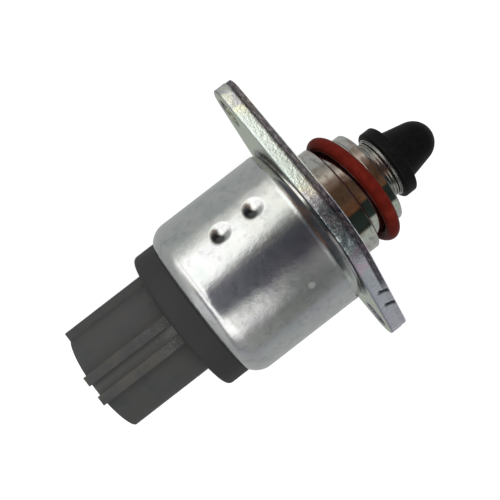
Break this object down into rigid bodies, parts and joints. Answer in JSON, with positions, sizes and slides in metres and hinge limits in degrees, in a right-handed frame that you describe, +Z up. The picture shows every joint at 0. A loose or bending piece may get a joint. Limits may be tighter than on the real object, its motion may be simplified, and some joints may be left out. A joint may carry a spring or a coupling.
{
  "type": "idle air control valve",
  "caption": "Stepper-driven idle air control valve: steel motor can with a moulded connector, oval mounting flange, sealed nose and a black tapered pintle.",
  "frame": {"origin": "on the valve axis, in the front (engine side) face of the mounting flange, where the pilot land begins", "axes": "+X along the valve axis towards the pintle's tip, Y along the flange's two bolt holes, +Z up"},
  "size_m": [0.0818, 0.0604, 0.035],
  "materials": {
    "bright_can": "bright nickel or zinc plate on drawn steel, glossy",
    "zinc_flange": "zinc plate with a faint yellow, green and pink passivation, matt",
    "turned_nose": "turned and plated steel, semi-gloss",
    "red_rubber": "brick red seal rubber, satin",
    "grey_plastic": "dark grey glass-filled nylon, satin",
    "black_rubber": "black seal rubber",
    "tinned_brass": "tinned brass",
    "spool_plastic": "natural nylon",
    "enamelled_wire": "enamelled copper wire",
    "pole_steel": "zinc plated soft iron",
    "magnet_ferrite": "moulded ferrite magnet, dark grey",
    "hub_brass": "turned brass",
    "bearing_steel": "ground bearing steel",
    "spring_steel": "spring steel",
    "bush_bronze": "sintered bronze",
    "wiper_felt": "pressed felt",
    "screw_steel": "ground steel",
    "bright_washer": "bright steel",
    "black_plastic": "black moulded plastic, satin"
  },
  "bodies": {
    "housing": {"motor_can": "bright_can", "flange_plate": "zinc_flange", "nose_housing": "turned_nose", "o_ring": "red_rubber", "connector_cap": "grey_plastic", "cap_seal": "black_rubber", "terminal_pin_1": "tinned_brass", "terminal_pin_2": "tinned_brass", "terminal_pin_3": "tinned_brass", "terminal_pin_4": "tinned_brass", "terminal_pin_5": "tinned_brass", "terminal_pin_6": "tinned_brass", "front_bobbin": "spool_plastic", "rear_bobbin": "spool_plastic", "front_winding": "enamelled_wire", "rear_winding": "enamelled_wire", "pole_plate_1": "pole_steel", "pole_plate_2": "pole_steel", "pole_plate_3": "pole_steel", "pole_plate_4": "pole_steel", "front_outer_race": "bearing_steel", "rear_outer_race": "bearing_steel", "dished_washer": "spring_steel", "guide_bush": "bush_bronze", "felt_wiper": "wiper_felt"},
    "rotor": {"rotor_magnet": "magnet_ferrite", "rotor_hub": "hub_brass", "front_inner_race": "bearing_steel", "rear_inner_race": "bearing_steel"},
    "front_cage": {"front_balls": "bearing_steel"},
    "rear_cage": {"rear_balls": "bearing_steel"},
    "plunger": {"leadscrew": "screw_steel", "backing_washer": "bright_washer", "pintle": "black_plastic"}
  },
  "joints": [
    {"name": "rotor_spin", "type": "hinge", "parent": "housing", "child": "rotor", "pos_m": [-0.015, 0, 0], "axis": [1, 0, 0], "range_deg": [0, 1800]},
    {"name": "front_cage_spin", "type": "hinge", "parent": "housing", "child": "front_cage", "pos_m": [-0.006, 0, 0], "axis": [1, 0, 0], "range_deg": [0, 768]},
    {"name": "rear_cage_spin", "type": "hinge", "parent": "housing", "child": "rear_cage", "pos_m": [-0.026, 0, 0], "axis": [1, 0, 0], "range_deg": [0, 680]},
    {"name": "pintle_slide", "type": "slide", "parent": "housing", "child": "plunger", "axis": [1, 0, 0], "range_m": [0, 0.008]}
  ],
  "couplings": [
    {"joint": "front_cage_spin", "follows": "rotor_spin", "ratio": 0.4264},
    {"joint": "rear_cage_spin", "follows": "rotor_spin", "ratio": 0.3773},
    {"joint": "pintle_slide", "follows": "rotor_spin", "m_per_rad": 0.00025464}
  ]
}
